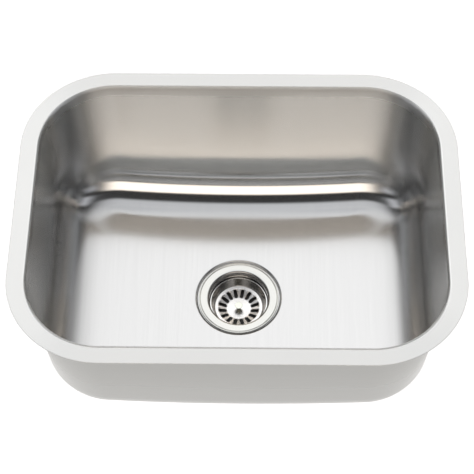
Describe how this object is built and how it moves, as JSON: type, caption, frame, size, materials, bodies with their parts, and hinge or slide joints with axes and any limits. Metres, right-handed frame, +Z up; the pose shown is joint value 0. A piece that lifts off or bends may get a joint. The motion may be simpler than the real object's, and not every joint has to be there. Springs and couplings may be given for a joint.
{
  "type": "undermount kitchen sink",
  "caption": "Single-bowl stainless undermount kitchen sink with rounded corners, a dished floor and a lift-out basket strainer in its drain.",
  "frame": {"origin": "centre of the sink's opening, in the plane of the rim's top; the drain's axis passes through it", "axes": "+Z up, out of the opening; +X to the right along the sink's length; +Y towards its back"},
  "size_m": [0.5842, 0.4508, 0.3023],
  "materials": {
    "bowl_steel": "satin brushed stainless steel",
    "pad_rubber": "matt moulded rubber",
    "strainer_steel": "polished stainless steel",
    "outlet_brass": "nickel-plated brass",
    "gasket_foam": "matt closed-cell foam",
    "seal_rubber": "matt black rubber",
    "ring_fibre": "pressed fibre",
    "locknut_zinc": "die-cast zinc",
    "washer_plastic": "soft white plastic",
    "coupling_chrome": "chrome plate",
    "basket_steel": "polished stainless steel",
    "knob_steel": "polished stainless steel",
    "stem_steel": "plain stainless steel"
  },
  "bodies": {
    "sink": {"bowl": "bowl_steel", "sound_pad_left": "pad_rubber", "sound_pad_right": "pad_rubber", "strainer_cup": "strainer_steel", "outlet_neck": "outlet_brass", "flange_gasket": "gasket_foam", "rubber_washer": "seal_rubber", "friction_ring": "ring_fibre", "locknut": "locknut_zinc", "tailpiece_washer": "washer_plastic", "coupling_nut": "coupling_chrome"},
    "stopper": {"rubber_stopper": "seal_rubber"},
    "basket": {"basket": "basket_steel", "knob": "knob_steel", "stem": "stem_steel", "stopper_plate": "stem_steel", "spring_clip": "stem_steel", "stem_nut": "stem_steel"}
  },
  "joints": [
    {"name": "basket_lift", "type": "slide", "parent": "sink", "child": "stopper", "axis": [0, 0, 1], "range_m": [0, 0.286]},
    {"name": "basket_turn", "type": "hinge", "parent": "stopper", "child": "basket", "pos_m": [0, 0, -0.25], "axis": [0, 0, 1], "continuous": true}
  ]
}
